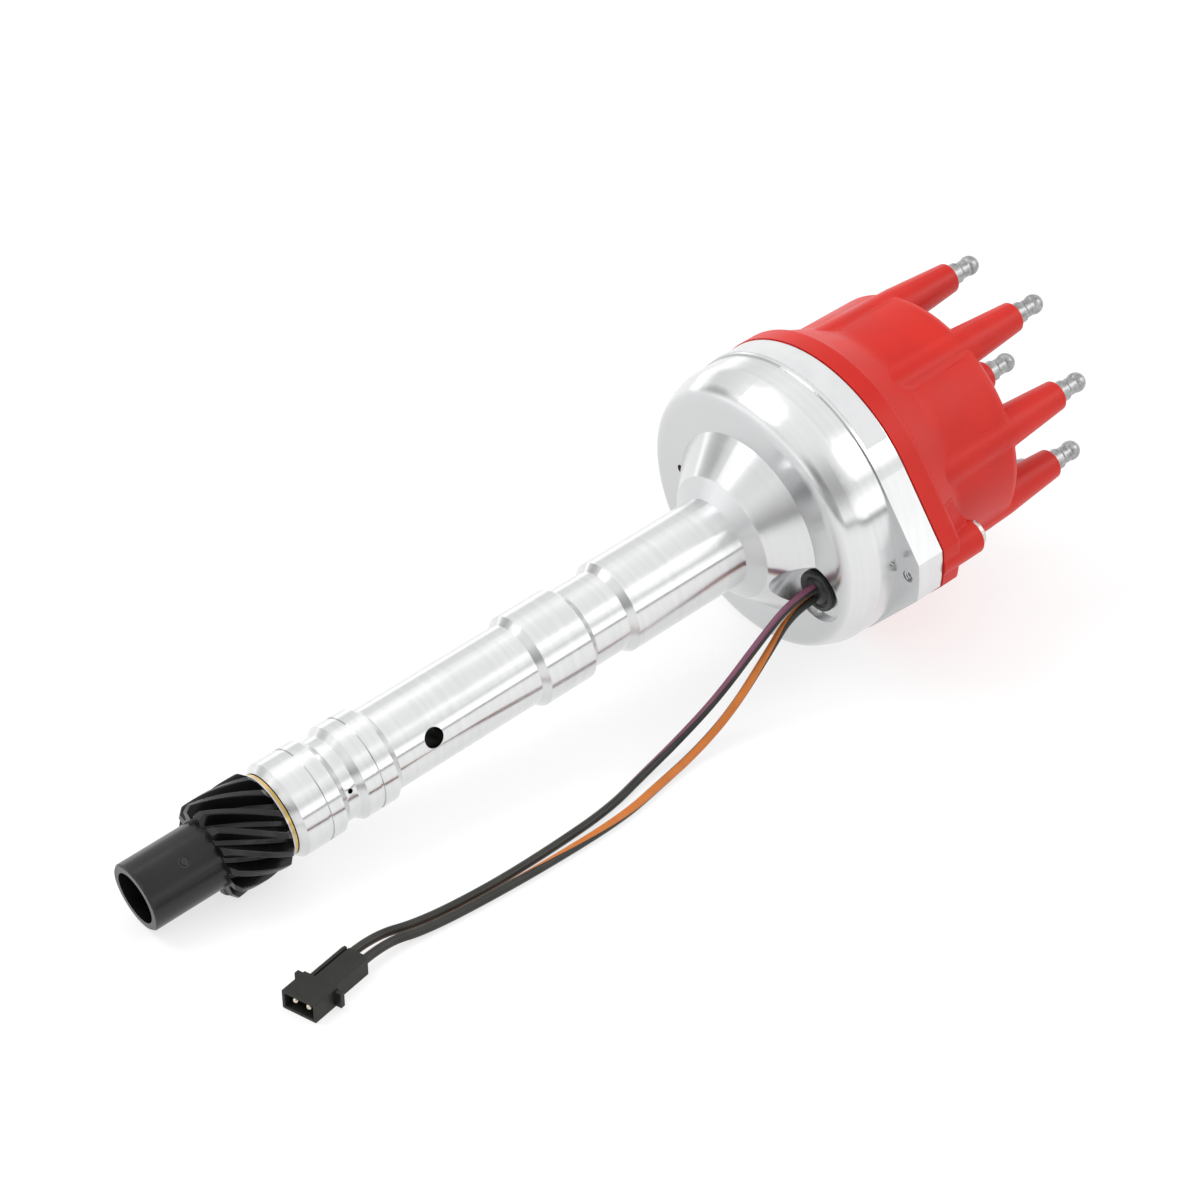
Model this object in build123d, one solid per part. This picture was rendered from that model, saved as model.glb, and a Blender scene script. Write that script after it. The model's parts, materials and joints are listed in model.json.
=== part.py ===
from build123d import *
import math
import os

# Ignition distributor for a V8 engine, lying on a bench on its drive tube and its bowl.
# Everything but the leads is drawn on the distributor's own axis: height zero is the open end of
# the drive tube, heights grow toward the cap. Angle zero points up as the distributor lies, and
# angle ninety points to the side where the leads run. All sizes are millimetres and degrees.

# Fits and small gaps
running_gap = 0.03
press_gap = 0.01
seat_gap = 0.1
end_play = 0.3

# Drive tube, gear and thrust pieces
shaft_r = 6.25
tube_r = 11.3
tube_length = 25.4
tube_bore_r = 8.6
tube_bore_depth = 11.0
tube_edge = 0.6
gear_tip_r = 16.1
gear_root_r = 11.9
gear_length = 21.9
gear_teeth = 13
gear_helix = 35.5
gear_first_tooth = -2.4
gear_end_bevel = 1.8
tooth_root_share = 0.66
tooth_tip_share = 0.29
tooth_round = 0.45
shim_r = 14.2
shim_thickness = 0.5
washer_r = 13.9
washer_thickness = 1.1
roll_pin_r = 2.0
roll_pin_groove = 0.3
roll_pin_wall = 0.5
roll_pin_slot = 0.8
roll_pin_height = 15.3
roll_pin_angle = 38.0
drive_slot_width = 4.8
drive_slot_depth = 3.0

# Housing stem, from its toe up
land_r = 16.1
stem_r = 14.15
stem_chamfer = 2.4
lower_land_length = 14.0
recess_length = 3.9
middle_land_length = 11.2
shank_length = 55.2
collar_length = 17.9
neck_length = 13.6
upper_land_length = 45.4
seal_groove_width = 1.1
seal_groove_depth = 0.35
stem_bore_r = 8.0
stem_hole_r = 3.4
stem_hole_above_shank = 13.9
stem_hole_angle = 72.0
oil_hole_r = 0.85
oil_hole_depth = 2.5
oil_hole_angle = 73.5

# Housing bell, bowl and flange
collar_cone_r = 22.4
collar_cone_height = 3.9
cone_step = 0.3
cone_foot_r = 33.0
cone_height = 11.0
bowl_r = 51.0
shoulder_step = 3.8
shoulder_r = bowl_r - shoulder_step
shoulder_height = 9.8
shoulder_round = 6.0
bowl_round = 12.0
bowl_height = 20.4
flange_lip = 0.6
flange_r = bowl_r + flange_lip
flange_thickness = 10.8
flange_edge = 0.3
ear_reach = 8.2
ear_r = flange_r + ear_reach
ear_half_angle = 7.5
ear_angle = 97.0
bowl_wall = 4.5
bowl_bore_r = bowl_r - bowl_wall
bowl_floor_thickness = 4.1
bowl_floor_round = 2.0
bearing_r = 14.0
bearing_width = 10.0
lead_pocket_r = 11.1
lead_pocket_ring_r = 34.2
lead_angle = 112.5
lead_pocket_depth = 1.8
lead_hole_r = 6.5
vent_pocket_r = 5.2
vent_hole_r = 1.7
vent_angle = 280.0
dimple_r = 1.3
dimple_depth = 0.8
dimple_angle = 91.0
dimple_below_flange = 3.2

# Cap
cap_overhang = 0.4
cap_band_height = 8.6
cap_band_round = 2.4
cap_blend_height = 14.0
cap_blend_round = 12.0
cap_inset = 5.5
cap_r = flange_r - cap_inset
cap_taper = 0.5
cap_top_r = cap_r - cap_taper
cap_side_height = 51.0
cap_crown = 2.6
cap_rim_round = 4.5
cap_wall = 3.6
cap_roof = 9.5
cap_boss_r = 6.2
cap_boss_height = 18.4
tower_inset = 6.3
tower_ring_r = cap_top_r - tower_inset
tower_count = 8
first_tower_angle = -16.3
rib_foot_r = 8.7
tower_foot_r = 7.25
tower_end_r = 5.35
tower_end_round = 0.8
tower_height = 24.9
centre_tower_foot_r = 8.4
centre_tower_height = 29.5
screw_reach = 3.0
screw_ring_r = flange_r + screw_reach
screw_r = 2.1
screw_head_r = 4.8
screw_head_height = 2.6
screw_slot_width = 1.2
screw_slot_depth = 1.1
screw_end_short = 2.5

# Spark terminals
nose_collar_r = 3.7
nose_collar_length = 3.7
nose_neck_r = 3.05
nose_ball_r = 3.5
nose_length = 13.2
terminal_stem_r = 2.0
electrode_r = 2.6
electrode_length = 17.6
brush_r = 2.5
brush_length = 11.0
brush_hole_r = 1.6
brush_hole_depth = 6.0
brush_boss_r = 5.5
brush_boss_rise = 4.0
brush_spring_room = 3.0
brush_travel = 1.5

# Ball bearing at the top of the stem
race_thickness = 3.1
ball_r = 2.1
ball_count = 9
ball_gap = 0.06
cage_thickness = 0.8

# Trigger and pickup in the bowl
sleeve_r = 9.0
sleeve_bore_r = shaft_r + running_gap
reluctor_hub_r = 12.5
reluctor_r = 20.5
reluctor_blade = 3.0
reluctor_thickness = 5.0
reluctor_floor_gap = 4.5
pickup_plate_gap = 2.5
pickup_plate_r = bowl_bore_r - pickup_plate_gap
pickup_plate_hole_r = 17.5
pickup_plate_thickness = 1.6
pickup_air_gap = 0.6
pickup_angle = 172.0
pickup_pole_width = 6.0
pickup_pole_length = 5.0
pickup_body_length = 12.0
pickup_body_width = 26.0
pickup_body_height = 11.0
pickup_screw_spread = 19.0
pickup_screw_r = 1.5
pickup_tab_length = 7.0

# Centrifugal advance on top of the shaft
base_plate_r = 21.5
base_plate_width = 30.0
base_plate_thickness = 2.4
base_plate_height = 21.5
weight_pin_ring_r = 18.0
weight_pin_r = 2.0
weight_pin_angle = 20.0
weight_inner_r = 14.5
weight_outer_r = 26.5
weight_span = 118.0
weight_thickness = 3.6
weight_eye_r = 4.2
cam_r = 9.6
cam_arm_r = 13.2
cam_arm_width = 5.0
cam_thickness = 2.6
cam_post_r = 1.3
cam_post_ring_r = 11.3
spring_r = 1.6
spring_wire = 0.5
spring_coils = 9

# Rotor
rotor_disc_r = 30.0
rotor_disc_thickness = 3.0
rotor_foot_height = 8.0
rotor_foot_r = 4.6
rotor_foot_ring_r = 17.0
rotor_screw_r = 1.6
rotor_screw_head_r = 3.0
rotor_screw_head_height = 1.8
rotor_hub_r = 8.5
rotor_arm_width = 13.0
rotor_arm_r = 33.0
rotor_height = 22.4
rotor_angle = first_tower_angle + 90.0
strip_width = 5.0
strip_thickness = 1.2
spark_gap = 0.8
leaf_rise = 2.2

# Rubber grommet, leads and plug
grommet_flange_r = 9.2
grommet_flange_thickness = 1.7
grommet_nose_r = 5.6
grommet_nose_length = 2.6
grommet_inner_lip = 1.0
lead_r = 1.45
lead_spread = 4.4
lead_straight = 9.0
lead_plug_run = 11.0
plug_width = 12.4
plug_height = 6.6
plug_front_length = 10.0
plug_length = 25.3
plug_rear_width = 9.6
plug_wall = 1.0
plug_mouth_depth = 7.0
plug_edge = 0.4
plug_rear_bevel = 1.1
plug_lug_out = 2.3
plug_lug_thickness = 1.6
plug_lug_height = 5.0
plug_groove_width = 0.7
plug_groove_depth = 0.6
plug_turn = 16.0
plug_front = (-166.1, -61.9)
contact_pitch = 5.0
contact_r = 1.1
contact_short = 0.9

# Heights along the axis, worked out from the lengths above
gear_top = tube_length + gear_length
tooth_rest_height = tube_length + gear_end_bevel
toe = gear_top + shim_thickness + washer_thickness + end_play
lower_land = toe + stem_chamfer
recess = lower_land + lower_land_length + stem_chamfer
middle_land = recess + recess_length + stem_chamfer
shank = middle_land + middle_land_length + stem_chamfer
collar = shank + shank_length + stem_chamfer
neck = collar + collar_length + stem_chamfer
upper_land = neck + neck_length + stem_chamfer
bell = upper_land + upper_land_length
cone = bell + collar_cone_height
annulus = cone + cone_height
flange_bottom = annulus + bowl_height
flange_top = flange_bottom + flange_thickness
bowl_floor = annulus + bowl_floor_thickness
bearing_seat = bowl_floor - bearing_width
cap_base = flange_top + seat_gap
cap_rim = cap_base + cap_side_height
cap_crown_top = cap_rim + cap_crown
cap_roof_inside = cap_crown_top - cap_roof
tower_top = cap_rim + tower_height
centre_tower_top = cap_rim + centre_tower_height
boss_top = cap_base + cap_boss_height
base_plate = bowl_floor + base_plate_height
rotor_bottom = base_plate + base_plate_thickness + rotor_foot_height
rotor_top = rotor_bottom + rotor_height
strip_tip_r = tower_ring_r - electrode_r - spark_gap
brush_low = rotor_top + strip_thickness + leaf_rise + end_play


def polar(radius, angle, height=0.0):
    """Point at a radius and angle round the distributor's axis."""
    turn = math.radians(angle)
    return (radius * math.cos(turn), radius * math.sin(turn), height)


def turned(outline):
    """Solid of revolution about the axis from (radius, height) points."""
    return revolve(make_face(Plane.XZ * Polyline(*outline, close=True)), Axis.Z)


def drum(radius, low, high, place=(0, 0)):
    """Round bar parallel to the axis between two heights."""
    return Pos(place[0], place[1], low) * extrude(Circle(radius), high - low)


def tube(outer_r, inner_r, low, high):
    """Round tube on the axis between two heights."""
    return drum(outer_r, low, high) - drum(inner_r, low - 1, high + 1)


def rims(solid, radius, height):
    """Circular edges of one radius at one height."""
    return [
        edge
        for edge in solid.edges().filter_by(GeomType.CIRCLE)
        if abs(edge.radius - radius) < 0.01 and abs(edge.arc_center.Z - height) < 0.01
    ]


def flange_outline(extra=0.0):
    """Round flange with two ears whose flats run tangent from the rim."""
    rim_r = flange_r + extra
    tip_r = ear_r + extra
    flat_turn = math.acos(rim_r / tip_r) + math.radians(ear_half_angle)
    touch_x = rim_r * math.cos(flat_turn)
    touch_y = rim_r * math.sin(flat_turn)
    apex = rim_r / math.cos(flat_turn)
    kite = Polyline(
        (apex, 0), (touch_x, touch_y), (-touch_x, touch_y),
        (-apex, 0), (-touch_x, -touch_y), (touch_x, -touch_y), close=True,
    )
    return Rot(0, 0, ear_angle) * ((Circle(rim_r) + make_face(kite)) & Circle(tip_r))


def ear_places(height=0.0):
    """Screw axes of the two ears."""
    return [polar(screw_ring_r, ear_angle + turn, height) for turn in (0, 180)]


def housing():
    """Billet housing: stem with lands, bell, bowl and eared flange."""
    ledge = stem_chamfer
    outline = [
        (stem_bore_r, toe),
        (stem_r, toe),
        (land_r, lower_land),
        (land_r, recess - ledge),
        (stem_r, recess),
        (stem_r, middle_land - ledge),
        (land_r, middle_land),
        (land_r, shank - ledge),
        (stem_r, shank),
        (stem_r, collar - ledge),
        (land_r, collar),
        (land_r, neck - ledge),
        (stem_r, neck),
        (stem_r, upper_land - ledge),
        (land_r, upper_land),
        (land_r, bell),
        (collar_cone_r, cone - cone_step),
        (collar_cone_r + cone_step, cone),
        (cone_foot_r, annulus),
        (shoulder_r, annulus),
        (bowl_r, annulus + shoulder_height),
        (bowl_r, flange_top),
        (bowl_bore_r, flange_top),
        (bowl_bore_r, bowl_floor),
        (bearing_r, bowl_floor),
        (bearing_r, bearing_seat),
        (stem_bore_r, bearing_seat),
    ]
    body = turned(outline)
    body = fillet(rims(body, shoulder_r, annulus), shoulder_round)
    body = fillet(rims(body, bowl_r, annulus + shoulder_height), bowl_round)
    body = fillet(rims(body, bowl_bore_r, bowl_floor), bowl_floor_round)
    ring = extrude(flange_outline(), flange_thickness) - extrude(Circle(bowl_bore_r), flange_thickness)
    body += Pos(0, 0, flange_bottom) * ring
    top_edges = body.faces().sort_by(Axis.Z)[-1].outer_wire().edges()
    body = chamfer(top_edges, flange_edge)
    for middle in (lower_land + lower_land_length * 0.62, middle_land + middle_land_length * 0.48):
        low = middle - seal_groove_width / 2
        body -= tube(land_r + 1, land_r - seal_groove_depth, low, low + seal_groove_width)
    for place in ear_places():
        body -= drum(screw_r + press_gap, flange_bottom - 1, flange_top + 1, place)
    body -= radial_hole(stem_hole_r, stem_hole_angle, shank + stem_hole_above_shank, stem_bore_r, land_r)
    oil_low = recess + recess_length * 0.45
    body -= radial_hole(oil_hole_r, oil_hole_angle, oil_low, stem_r - oil_hole_depth, land_r)
    body -= radial_hole(
        dimple_r, dimple_angle, flange_bottom - dimple_below_flange, bowl_r - dimple_depth, bowl_r + 1
    )
    lead_place = polar(lead_pocket_ring_r, lead_angle)
    body -= drum(lead_pocket_r, bell, annulus + lead_pocket_depth, lead_place)
    body -= drum(lead_hole_r, annulus, bowl_floor + 1, lead_place)
    vent_place = polar(cone_foot_r, vent_angle)
    body -= drum(vent_pocket_r, bell, annulus, vent_place)
    body -= drum(vent_hole_r, annulus - 1, bowl_floor + 1, vent_place)
    return body


def radial_hole(radius, angle, height, inner_r, outer_r):
    """Cutter for a hole square to the axis between two radii."""
    aim = Plane(origin=polar(inner_r, angle, height), z_dir=polar(1, angle))
    return aim.location * extrude(Circle(radius), outer_r - inner_r)


def lower_bushing():
    """Sintered sleeve in the toe of the stem."""
    return tube(stem_bore_r - press_gap, shaft_r + running_gap, toe, recess)


def bearing_races():
    """Outer and inner race with the ball track cut in both."""
    pitch_r = (bearing_r + shaft_r) / 2
    middle = bearing_seat + bearing_width / 2
    track = revolve(
        Plane.XZ * Pos(pitch_r, middle) * Circle(ball_r + ball_gap), Axis.Z
    )
    top = bearing_seat + bearing_width
    outer = tube(bearing_r - press_gap, bearing_r - race_thickness, bearing_seat, top) - track
    inner = tube(shaft_r + race_thickness, shaft_r + press_gap, bearing_seat, top) - track
    return outer, inner


def bearing_cage():
    """Ring of balls held at even spacing by a thin cage."""
    pitch_r = (bearing_r + shaft_r) / 2
    middle = bearing_seat + bearing_width / 2
    half = cage_thickness / 2
    cage = tube(pitch_r + half, pitch_r - half, middle - ball_r, middle + ball_r)
    for index in range(ball_count):
        cage += Pos(*polar(pitch_r, index * 360 / ball_count, middle)) * Sphere(ball_r)
    return cage


def gear_teeth_profile():
    """Cross section of the drive gear: thirteen rounded trapezoid teeth."""
    pitch = 360 / gear_teeth
    root_half = pitch * tooth_root_share / 2
    tip_half = pitch * tooth_tip_share / 2
    section = Circle(gear_root_r)
    for index in range(gear_teeth):
        corners = [
            polar(gear_root_r - 0.6, -root_half),
            polar(gear_root_r, -root_half),
            polar(gear_tip_r, -tip_half),
            polar(gear_tip_r, tip_half),
            polar(gear_root_r, root_half),
            polar(gear_root_r - 0.6, root_half),
        ]
        tooth = make_face(Polyline(*[(x, y) for x, y, z in corners], close=True))
        section += Rot(0, 0, gear_first_tooth + index * pitch) * tooth
    corners = [corner for corner in section.vertices() if Vector(*corner).length > gear_root_r - tooth_round]
    return fillet(corners, tooth_round)


def drive_gear():
    """Helical gear with its drive tube, bored for the shaft and cross drilled for the pin."""
    twist = math.degrees(gear_length * math.tan(math.radians(gear_helix)) / gear_tip_r)
    profile = gear_teeth_profile().face()
    teeth = Solid.extrude_linear_with_rotation(
        profile, center=(0, 0, 0), normal=(0, 0, gear_length), angle=twist
    )
    teeth = Pos(0, 0, tube_length) * teeth
    bevel = gear_end_bevel
    blank = turned([
        (0, tube_length),
        (gear_tip_r - bevel, tube_length),
        (gear_tip_r + 0.5, tube_length + bevel + 0.5),
        (gear_tip_r + 0.5, gear_top - bevel - 0.5),
        (gear_tip_r - bevel, gear_top),
        (0, gear_top),
    ])
    gear = (teeth & blank) + chamfer(drum(tube_r, 0, tube_length + 1).edges().sort_by(Axis.Z)[0], tube_edge)
    gear -= drum(tube_bore_r, -1, tube_bore_depth)
    gear -= drum(shaft_r + press_gap, 0, gear_top + 1)
    return gear - pin_hole()


def pin_hole():
    """Cross hole of the roll pin through drive tube and shaft."""
    return radial_hole(roll_pin_r, roll_pin_angle, roll_pin_height, -tube_r - 1, tube_r + 1)


def roll_pin():
    """Coiled spring pin, ground flush with the tube, its coil showing as a groove in each end."""
    pin = radial_hole(roll_pin_r - press_gap, roll_pin_angle, roll_pin_height, -tube_r, tube_r)
    pin &= drum(tube_r - roll_pin_groove / 2, 0, tube_length)
    groove_r = roll_pin_r - roll_pin_wall
    ring = Circle(groove_r) - Circle(groove_r - roll_pin_groove)
    ring -= Pos(groove_r, 0) * Rectangle(roll_pin_r, roll_pin_slot)
    for way in (0, 180):
        end = Plane(
            origin=polar(tube_r - 2 * roll_pin_groove, roll_pin_angle + way, roll_pin_height),
            z_dir=polar(1, roll_pin_angle + way),
        )
        pin -= end.location * extrude(ring, 1)
    return pin


def main_shaft():
    """Steel shaft with the pump drive slot at its end and a shoulder for the cam."""
    top = base_plate + base_plate_thickness + running_gap
    shaft = drum(shaft_r, tube_bore_depth, top)
    slot = Box(drive_slot_width, 3 * shaft_r, 2 * drive_slot_depth)
    shaft -= Pos(0, 0, tube_bore_depth) * slot
    return shaft - pin_hole()


def thrust_shim():
    """Thin steel shim on top of the gear."""
    return tube(shim_r, shaft_r + seat_gap, gear_top, gear_top + shim_thickness)


def thrust_washer():
    """Brass washer that runs under the housing's toe."""
    low = gear_top + shim_thickness
    return tube(washer_r, shaft_r + seat_gap, low, low + washer_thickness)


def weight_pin_places(height=0.0):
    """The two weight pivots, opposite each other."""
    return [polar(weight_pin_ring_r, weight_pin_angle + turn, height) for turn in (0, 180)]


def pole_sleeve():
    """Sleeve that turns on the shaft and carries trigger wheel, base plate and rotor."""
    return tube(sleeve_r, sleeve_bore_r, bowl_floor + 0.6, base_plate)


def reluctor():
    """Trigger wheel with one blade for each cylinder."""
    wheel = Circle(reluctor_hub_r)
    for index in range(tower_count):
        blade = Pos(reluctor_r / 2, 0) * Rectangle(reluctor_r, reluctor_blade)
        wheel += Rot(0, 0, first_tower_angle + index * 360 / tower_count) * blade
    wheel -= Circle(sleeve_r + press_gap)
    low = bowl_floor + pickup_plate_thickness + reluctor_floor_gap
    return Pos(0, 0, low) * extrude(wheel, reluctor_thickness)


def advance_base():
    """Base plate of the advance, riveted to the sleeve."""
    shape = Circle(base_plate_r) & Rot(0, 0, weight_pin_angle) * Rectangle(3 * base_plate_r, base_plate_width)
    shape += Rot(0, 0, rotor_angle + 90) * SlotOverall(
        2 * (rotor_foot_ring_r + rotor_foot_r), 2 * rotor_foot_r
    )
    shape -= Circle(sleeve_bore_r)
    for place in weight_pin_places():
        shape -= Pos(place[0], place[1]) * Circle(weight_pin_r + press_gap)
    for place in rotor_foot_places():
        shape -= Pos(place[0], place[1]) * Circle(rotor_screw_r + press_gap)
    return Pos(0, 0, base_plate) * extrude(shape, base_plate_thickness)


def weight_pins():
    """Two hardened pins that the weights swing on."""
    top = spring_height() + spring_r
    pins = [drum(weight_pin_r, base_plate, top, place) for place in weight_pin_places()]
    return Compound(children=pins)


def rotor_foot_places(height=0.0):
    """Screw posts of the rotor, either side of its arm."""
    return [polar(rotor_foot_ring_r, rotor_angle + turn, height) for turn in (90, 270)]


def advance_weight(side):
    """Crescent weight that swings out about its pin."""
    start = weight_pin_angle
    sector = Rot(0, 0, start) * wedge(0, weight_span, weight_outer_r + 5)
    ring = Circle(weight_outer_r) - Circle(weight_inner_r)
    shape = ring & sector
    pivot = polar(weight_pin_ring_r, start)
    shape += Pos(pivot[0], pivot[1]) * Circle(weight_eye_r)
    shape -= Pos(pivot[0], pivot[1]) * Circle(weight_pin_r + running_gap)
    for place in rotor_foot_places():
        shape -= Pos(place[0], place[1]) * Circle(rotor_foot_r + 2.2)
    low = base_plate + base_plate_thickness + seat_gap
    slab = Pos(0, 0, low) * extrude(shape, weight_thickness)
    return Rot(0, 0, side * 180) * slab.solids().sort_by(SortBy.VOLUME)[-1]


def wedge(from_angle, to_angle, radius):
    """Pie slice used to cut sectors."""
    points = [(0, 0)]
    steps = 4
    for step in range(steps + 1):
        angle = from_angle + (to_angle - from_angle) * step / steps
        x, y, z = polar(radius * 1.2, angle)
        points.append((x, y))
    return make_face(Polyline(*points, close=True))


def centre_cam():
    """Cam plate pressed on the shaft end, with a post for each spring."""
    low = base_plate + base_plate_thickness + seat_gap
    shape = Ellipse(cam_r, cam_r * 0.8)
    shape += Rectangle(2 * cam_arm_r, cam_arm_width)
    plate = Rot(0, 0, weight_pin_angle + 62) * extrude(shape, cam_thickness)
    cam = Pos(0, 0, low) * plate
    for place in cam_post_places():
        cam += drum(cam_post_r, low, spring_height() + spring_r, place)
    return cam


def cam_post_places():
    """Spring posts at the ends of the cam's arms."""
    return [polar(cam_post_ring_r, weight_pin_angle + 62 + turn) for turn in (0, 180)]


def spring_height():
    """Height of the spring axes, clear above the weights."""
    return base_plate + base_plate_thickness + seat_gap + weight_thickness + end_play + spring_r


def advance_springs():
    """Two close-wound springs between weight pins and cam posts."""
    height = spring_height()
    springs = []
    for pin, post in zip(weight_pin_places(height), cam_post_places()):
        start = Vector(*pin)
        finish = Vector(post[0], post[1], height)
        reach = finish - start
        gap = weight_pin_r + 0.3
        far_gap = cam_post_r + 0.3
        coil_length = reach.length - gap - far_gap
        step = coil_length / spring_coils
        outline = [(0, 0)]
        for index in range(spring_coils):
            outline += [(spring_r - spring_wire / 2, index * step), (spring_r, (index + 0.5) * step)]
        outline += [(spring_r - spring_wire / 2, coil_length), (0, coil_length)]
        aim = Plane(origin=start + reach.normalized() * gap, z_dir=reach)
        springs.append(aim.location * turned(outline))
    return Compound(children=springs)


def rotor():
    """Moulded rotor: disc on two screw posts, hub and arm that carries the contact strip."""
    body = drum(rotor_disc_r, rotor_bottom, rotor_bottom + rotor_disc_thickness)
    for place in rotor_foot_places():
        body += drum(rotor_foot_r, base_plate + base_plate_thickness, rotor_bottom + 1, place)
    body += drum(rotor_hub_r, rotor_bottom, rotor_top)
    arm = Box(rotor_arm_r, rotor_arm_width, rotor_height, align=(Align.MIN, Align.CENTER, Align.MIN))
    body += Pos(0, 0, rotor_bottom) * Rot(0, 0, rotor_angle) * arm
    for place in rotor_foot_places():
        body -= drum(rotor_screw_r + press_gap, base_plate, rotor_top, place)
    return body


def rotor_strip():
    """Contact strip on the arm with the leaf that meets the brush."""
    tip = Box(strip_tip_r, strip_width, strip_thickness, align=(Align.MIN, Align.CENTER, Align.MIN))
    leaf = Plane.XZ * make_face(Polyline(
        (7, strip_thickness), (9, strip_thickness), (1.5, strip_thickness + leaf_rise),
        (-2, strip_thickness + leaf_rise), (-2, strip_thickness + leaf_rise - 0.5),
        (1.2, strip_thickness + leaf_rise - 0.5), close=True,
    ))
    strip = tip + extrude(leaf, strip_width / 2, both=True)
    return Pos(0, 0, rotor_top) * Rot(0, 0, rotor_angle) * strip


def rotor_screws():
    """Two screws through the rotor posts into the base plate."""
    head_low = rotor_bottom + rotor_disc_thickness
    screws = []
    for place in rotor_foot_places():
        screw = drum(rotor_screw_r, base_plate, head_low + 0.1, place)
        screw += drum(rotor_screw_head_r, head_low, head_low + rotor_screw_head_height, place)
        screws.append(screw)
    return Compound(children=screws)


def pickup_plate():
    """Plate on the bowl floor that holds the pickup, cut clear of the grommet."""
    shape = Circle(pickup_plate_r) - Circle(pickup_plate_hole_r)
    for radius, angle, hole in (
        (lead_pocket_ring_r, lead_angle, grommet_flange_r + 1.5),
        (cone_foot_r, vent_angle, vent_hole_r + 1),
    ):
        place = polar(radius, angle)
        shape -= Pos(place[0], place[1]) * Circle(hole)
    for place in pickup_screw_places():
        shape -= Pos(place[0], place[1]) * Circle(pickup_screw_r + press_gap)
    return Pos(0, 0, bowl_floor) * extrude(shape, pickup_plate_thickness)


def pickup_frame():
    """Frame whose x axis points out along the pickup, on top of its plate."""
    return Pos(0, 0, bowl_floor + pickup_plate_thickness) * Rot(0, 0, pickup_angle)


def pickup_pole():
    """Steel pole piece that faces the trigger wheel."""
    start = reluctor_r + pickup_air_gap
    pole = Box(
        pickup_pole_length, pickup_pole_width, reluctor_thickness,
        align=(Align.MIN, Align.CENTER, Align.MIN),
    )
    return pickup_frame() * Pos(start, 0, reluctor_floor_gap) * pole


def pickup_coil():
    """Potted coil block with a screw tab on each side."""
    start = reluctor_r + pickup_air_gap + pickup_pole_length
    low_corner = (Align.MIN, Align.CENTER, Align.MIN)
    block = Box(pickup_body_length, pickup_body_width, pickup_body_height, align=low_corner)
    block = fillet(block.edges().filter_by(Axis.Z), 2.0)
    tabs = Box(pickup_tab_length, 2 * pickup_screw_spread + 7, 2.0, align=low_corner)
    coil = Pos(start, 0, 0) * (block + Pos(2, 0, 0) * tabs)
    coil = pickup_frame() * coil
    for place in pickup_screw_places():
        coil -= drum(pickup_screw_r + press_gap, bowl_floor, bowl_floor + 8, place)
    return coil


def pickup_screw_places():
    """Two screws through the pickup's tabs."""
    out = reluctor_r + pickup_air_gap + pickup_pole_length + 2 + pickup_tab_length / 2
    turn = math.radians(pickup_angle)
    places = []
    for side in (pickup_screw_spread, -pickup_screw_spread):
        x = out * math.cos(turn) - side * math.sin(turn)
        y = out * math.sin(turn) + side * math.cos(turn)
        places.append((x, y))
    return places


def pickup_screws():
    """Pan head screws of the pickup."""
    head_low = bowl_floor + pickup_plate_thickness + 2.0
    screws = []
    for place in pickup_screw_places():
        screw = drum(pickup_screw_r, bowl_floor + 0.1, head_low + 0.1, place)
        screws.append(screw + drum(2 * pickup_screw_r, head_low, head_low + 1.6, place))
    return Compound(children=screws)


def tower_places(height=0.0):
    """Axes of the eight spark towers."""
    step = 360 / tower_count
    return [polar(tower_ring_r, first_tower_angle + index * step, height) for index in range(tower_count)]


def cap():
    """Moulded cap: eared band, ribbed drum, eight towers round a centre tower."""
    band = Pos(0, 0, cap_base) * extrude(flange_outline(cap_overhang), cap_band_height)
    band_top = band.faces().sort_by(Axis.Z)[-1]
    band = fillet(band_top.edges(), cap_band_round)
    shoulder = cap_base + cap_band_height + cap_blend_height - cap_band_round
    shell = turned([
        (0, cap_base),
        (flange_r, cap_base),
        (flange_r, cap_base + cap_band_height - cap_band_round),
        (cap_r, shoulder),
        (cap_top_r, cap_rim),
        (centre_tower_foot_r, cap_crown_top),
        (tower_end_r, centre_tower_top),
        (0, centre_tower_top),
    ])
    shell = fillet(rims(shell, cap_r, shoulder), cap_blend_round)
    shell = fillet(rims(shell, cap_top_r, cap_rim), cap_rim_round)
    shell = fillet(rims(shell, tower_end_r, centre_tower_top), tower_end_round)
    rib = turned([
        (0, cap_base + 1),
        (rib_foot_r, cap_base + 1),
        (tower_foot_r, cap_rim),
        (tower_end_r, tower_top),
        (0, tower_top),
    ])
    rib = fillet(rims(rib, tower_end_r, tower_top), tower_end_round)
    for place in tower_places():
        shell += Pos(*place) * rib
    shell += band
    boss = drum(cap_boss_r, cap_base, boss_top)
    boss = fillet(rims(boss, cap_boss_r, boss_top), tower_end_round)
    for place in ear_places():
        shell += Pos(place[0], place[1]) * boss
    return shell - cap_inside()


def cap_inside():
    """Everything cut from the cap: cavity, terminal, brush and screw holes."""
    inner_r = cap_r - cap_wall
    cuts = drum(inner_r, cap_base - 10, cap_roof_inside)
    cuts -= drum(brush_boss_r, brush_low + brush_boss_rise, cap_roof_inside + 1)
    for place in tower_places():
        cuts += drum(terminal_stem_r + press_gap, cap_roof_inside - 1, tower_top + 1, place)
    cuts += drum(terminal_stem_r + press_gap, brush_seat() - 1, centre_tower_top + 1)
    cuts += drum(brush_r + running_gap, brush_low, brush_seat())
    for place in ear_places():
        cuts += drum(screw_r + seat_gap, cap_base - 1, boss_top + 1, place)
    return cuts


def brush_seat():
    """Height of the blind end that the brush spring bears on."""
    return brush_low + brush_length + brush_travel + brush_spring_room


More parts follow.
